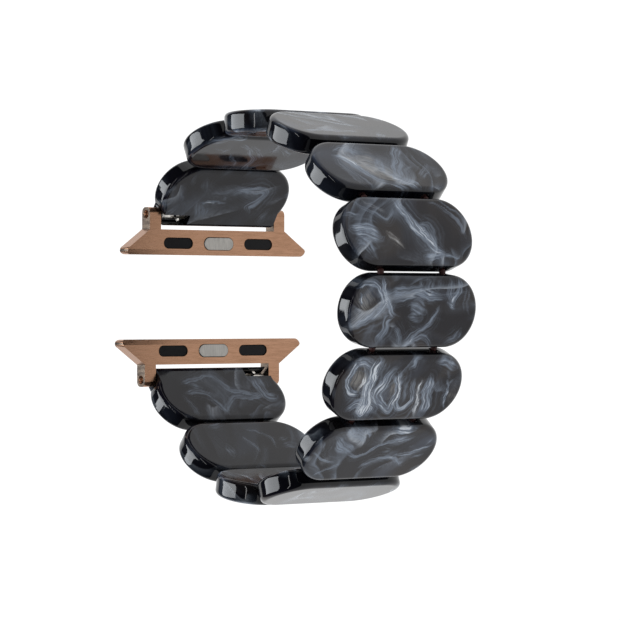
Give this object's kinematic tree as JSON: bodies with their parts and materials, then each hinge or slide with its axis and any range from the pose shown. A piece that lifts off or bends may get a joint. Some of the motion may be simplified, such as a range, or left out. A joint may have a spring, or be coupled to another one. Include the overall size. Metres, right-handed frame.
{
  "type": "stretch watch band",
  "caption": "Ring of polished resin links strung on two elastic cords, with a pivoting slide-in lug at each open end for a wrist watch case.",
  "frame": {"origin": "centre of the footprint of the band lying on its side, at the height of the lugs' lower ends", "axes": "+Z along the links, the way the wrist goes through; +X from the lower lug to the upper lug; +Y from the middle link towards the lugs"},
  "size_m": [0.054, 0.0494, 0.031],
  "materials": {
    "resin": "polished marbled resin",
    "cord": "satin elastic cord",
    "lug": "brushed rose gold plating",
    "pads": "matt black",
    "latch": "satin",
    "cover": "satin",
    "spring": "bright spring steel",
    "bar": "turned stainless steel"
  },
  "bodies": {
    "link_07": {"link_07": "resin", "cord_run_07": "cord"},
    "cord_gap_06_07": {"cord_gap_06_07": "cord"},
    "link_06": {"link_06": "resin", "cord_run_06": "cord"},
    "cord_gap_05_06": {"cord_gap_05_06": "cord"},
    "link_05": {"link_05": "resin", "cord_run_05": "cord"},
    "cord_gap_04_05": {"cord_gap_04_05": "cord"},
    "link_04": {"link_04": "resin", "cord_run_04": "cord"},
    "cord_gap_03_04": {"cord_gap_03_04": "cord"},
    "link_03": {"link_03": "resin", "cord_run_03": "cord"},
    "cord_gap_02_03": {"cord_gap_02_03": "cord"},
    "link_02": {"link_02": "resin", "cord_run_02": "cord"},
    "cord_gap_01_02": {"cord_gap_01_02": "cord"},
    "end_link_01": {"end_link_01": "resin", "cord_run_01": "cord", "upper_bar_barrel": "bar", "upper_bar_fixed_tip": "bar", "upper_bar_spring": "spring"},
    "cord_gap_07_08": {"cord_gap_07_08": "cord"},
    "link_08": {"link_08": "resin", "cord_run_08": "cord"},
    "cord_gap_08_09": {"cord_gap_08_09": "cord"},
    "link_09": {"link_09": "resin", "cord_run_09": "cord"},
    "cord_gap_09_10": {"cord_gap_09_10": "cord"},
    "link_10": {"link_10": "resin", "cord_run_10": "cord"},
    "cord_gap_10_11": {"cord_gap_10_11": "cord"},
    "link_11": {"link_11": "resin", "cord_run_11": "cord"},
    "cord_gap_11_12": {"cord_gap_11_12": "cord"},
    "link_12": {"link_12": "resin", "cord_run_12": "cord"},
    "cord_gap_12_13": {"cord_gap_12_13": "cord"},
    "end_link_13": {"end_link_13": "resin", "cord_run_13": "cord", "lower_bar_barrel": "bar", "lower_bar_fixed_tip": "bar", "lower_bar_spring": "spring"},
    "upper_release_tip": {"upper_bar_release_tip": "bar"},
    "upper_lug": {"upper_lug": "lug", "upper_lug_pads": "pads", "upper_latch_spring": "spring", "upper_latch_cover": "cover"},
    "upper_latch": {"upper_latch_button": "latch"},
    "lower_release_tip": {"lower_bar_release_tip": "bar"},
    "lower_lug": {"lower_lug": "lug", "lower_lug_pads": "pads", "lower_latch_spring": "spring", "lower_latch_cover": "cover"},
    "lower_latch": {"lower_latch_button": "latch"}
  },
  "joints": [
    {"name": "stretch_06_07", "type": "slide", "parent": "link_07", "child": "cord_gap_06_07", "axis": [0.9848, -0.1736, 0], "range_m": [0, 0.002], "stiffness_N_per_m": 1500},
    {"name": "flex_06_07", "type": "hinge", "parent": "cord_gap_06_07", "child": "link_06", "pos_m": [0.00475, -0.02337, 0.0155], "axis": [0, 0, 1], "range_deg": [-64, 4], "stiffness_Nm_per_rad": 0.002},
    {"name": "stretch_05_06", "type": "slide", "parent": "link_06", "child": "cord_gap_05_06", "axis": [0.9397, 0.342, 0], "range_m": [0, 0.002], "stiffness_N_per_m": 1500},
    {"name": "flex_05_06", "type": "hinge", "parent": "cord_gap_05_06", "child": "link_05", "pos_m": [0.01443, -0.01985, 0.0155], "axis": [0, 0, 1], "range_deg": [-62, 6], "stiffness_Nm_per_rad": 0.002},
    {"name": "stretch_04_05", "type": "slide", "parent": "link_05", "child": "cord_gap_04_05", "axis": [0.6691, 0.7431, 0], "range_m": [0, 0.002], "stiffness_N_per_m": 1500},
    {"name": "flex_04_05", "type": "hinge", "parent": "cord_gap_04_05", "child": "link_04", "pos_m": [0.02132, -0.01219, 0.0155], "axis": [0, 0, 1], "range_deg": [-52, 16], "stiffness_Nm_per_rad": 0.002},
    {"name": "stretch_03_04", "type": "slide", "parent": "link_04", "child": "cord_gap_03_04", "axis": [0.4067, 0.9135, 0], "range_m": [0, 0.002], "stiffness_N_per_m": 1500},
    {"name": "flex_03_04", "type": "hinge", "parent": "cord_gap_03_04", "child": "link_03", "pos_m": [0.02551, -0.00278, 0.0155], "axis": [0, 0, 1], "range_deg": [-60, 8], "stiffness_Nm_per_rad": 0.002},
    {"name": "stretch_02_03", "type": "slide", "parent": "link_03", "child": "cord_gap_02_03", "axis": [-0.0349, 0.9994, 0], "range_m": [0, 0.002], "stiffness_N_per_m": 1500},
    {"name": "flex_02_03", "type": "hinge", "parent": "cord_gap_02_03", "child": "link_02", "pos_m": [0.02515, 0.00751, 0.0155], "axis": [0, 0, 1], "range_deg": [-58, 10], "stiffness_Nm_per_rad": 0.002},
    {"name": "stretch_01_02", "type": "slide", "parent": "link_02", "child": "cord_gap_01_02", "axis": [-0.4384, 0.8988, 0], "range_m": [0, 0.002], "stiffness_N_per_m": 1500},
    {"name": "flex_01_02", "type": "hinge", "parent": "cord_gap_01_02", "child": "end_link_01", "pos_m": [0.02064, 0.01677, 0.0155], "axis": [0, 0, 1], "range_deg": [-64, 4], "stiffness_Nm_per_rad": 0.002},
    {"name": "stretch_07_08", "type": "slide", "parent": "link_07", "child": "cord_gap_07_08", "axis": [-0.9848, 0.1736, 0], "range_m": [0, 0.002], "stiffness_N_per_m": 1500},
    {"name": "flex_07_08", "type": "hinge", "parent": "cord_gap_07_08", "child": "link_08", "pos_m": [-0.00539, -0.02158, 0.0155], "axis": [0, 0, 1], "range_deg": [-14, 49], "stiffness_Nm_per_rad": 0.002},
    {"name": "stretch_08_09", "type": "slide", "parent": "link_08", "child": "cord_gap_08_09", "axis": [-0.9063, 0.4226, 0], "range_m": [0, 0.002], "stiffness_N_per_m": 1500},
    {"name": "flex_08_09", "type": "hinge", "parent": "cord_gap_08_09", "child": "link_09", "pos_m": [-0.01473, -0.01723, 0.0155], "axis": [0, 0, 1], "range_deg": [-18, 50], "stiffness_Nm_per_rad": 0.002},
    {"name": "stretch_09_10", "type": "slide", "parent": "link_09", "child": "cord_gap_09_10", "axis": [-0.7547, 0.6561, 0], "range_m": [0, 0.002], "stiffness_N_per_m": 1500},
    {"name": "flex_09_10", "type": "hinge", "parent": "cord_gap_09_10", "child": "link_10", "pos_m": [-0.0225, -0.01047, 0.0155], "axis": [0, 0, 1], "range_deg": [-3, 65], "stiffness_Nm_per_rad": 0.002},
    {"name": "stretch_10_11", "type": "slide", "parent": "link_10", "child": "cord_gap_10_11", "axis": [-0.309, 0.9511, 0], "range_m": [0, 0.002], "stiffness_N_per_m": 1500},
    {"name": "flex_10_11", "type": "hinge", "parent": "cord_gap_10_11", "child": "link_11", "pos_m": [-0.02568, -0.00067, 0.0155], "axis": [0, 0, 1], "range_deg": [-5, 63], "stiffness_Nm_per_rad": 0.002},
    {"name": "stretch_11_12", "type": "slide", "parent": "link_11", "child": "cord_gap_11_12", "axis": [0.1908, 0.9816, 0], "range_m": [0, 0.002], "stiffness_N_per_m": 1500},
    {"name": "flex_11_12", "type": "hinge", "parent": "cord_gap_11_12", "child": "link_12", "pos_m": [-0.02372, 0.00944, 0.0155], "axis": [0, 0, 1], "range_deg": [-4, 64], "stiffness_Nm_per_rad": 0.002},
    {"name": "stretch_12_13", "type": "slide", "parent": "link_12", "child": "cord_gap_12_13", "axis": [0.6561, 0.7547, 0], "range_m": [0, 0.002], "stiffness_N_per_m": 1500},
    {"name": "flex_12_13", "type": "hinge", "parent": "cord_gap_12_13", "child": "end_link_13", "pos_m": [-0.01696, 0.01721, 0.0155], "axis": [0, 0, 1], "range_deg": [-26, 42], "stiffness_Nm_per_rad": 0.002},
    {"name": "upper_lug_turn", "type": "hinge", "parent": "end_link_01", "child": "upper_lug", "pos_m": [0.01326, 0.02175, 0.0155], "axis": [0, 0, 1], "range_deg": [-109, 41]},
    {"name": "upper_bar_release", "type": "slide", "parent": "end_link_01", "child": "upper_release_tip", "axis": [0, 0, -1], "range_m": [0, 0.0013], "stiffness_N_per_m": 800, "deforming": ["upper_bar_spring"]},
    {"name": "upper_latch_press", "type": "slide", "parent": "upper_lug", "child": "upper_latch", "axis": [0, 1, 0], "range_m": [0, 0.0005], "stiffness_N_per_m": 1500, "deforming": ["upper_latch_spring"]},
    {"name": "lower_lug_turn", "type": "hinge", "parent": "end_link_13", "child": "lower_lug", "pos_m": [-0.01024, 0.02305, 0.0155], "axis": [0, 0, 1], "range_deg": [-34, 116]},
    {"name": "lower_bar_release", "type": "slide", "parent": "end_link_13", "child": "lower_release_tip", "axis": [0, 0, 1], "range_m": [0, 0.0013], "stiffness_N_per_m": 800, "deforming": ["lower_bar_spring"]},
    {"name": "lower_latch_press", "type": "slide", "parent": "lower_lug", "child": "lower_latch", "axis": [0, 1, 0], "range_m": [0, 0.0005], "stiffness_N_per_m": 1500, "deforming": ["lower_latch_spring"]}
  ],
  "couplings": [
    {"joint": "stretch_05_06", "follows": "stretch_06_07", "ratio": 1},
    {"joint": "stretch_04_05", "follows": "stretch_06_07", "ratio": 1},
    {"joint": "stretch_03_04", "follows": "stretch_06_07", "ratio": 1},
    {"joint": "stretch_02_03", "follows": "stretch_06_07", "ratio": 1},
    {"joint": "stretch_01_02", "follows": "stretch_06_07", "ratio": 1},
    {"joint": "stretch_07_08", "follows": "stretch_06_07", "ratio": 1},
    {"joint": "stretch_08_09", "follows": "stretch_06_07", "ratio": 1},
    {"joint": "stretch_09_10", "follows": "stretch_06_07", "ratio": 1},
    {"joint": "stretch_10_11", "follows": "stretch_06_07", "ratio": 1},
    {"joint": "stretch_11_12", "follows": "stretch_06_07", "ratio": 1},
    {"joint": "stretch_12_13", "follows": "stretch_06_07", "ratio": 1}
  ]
}
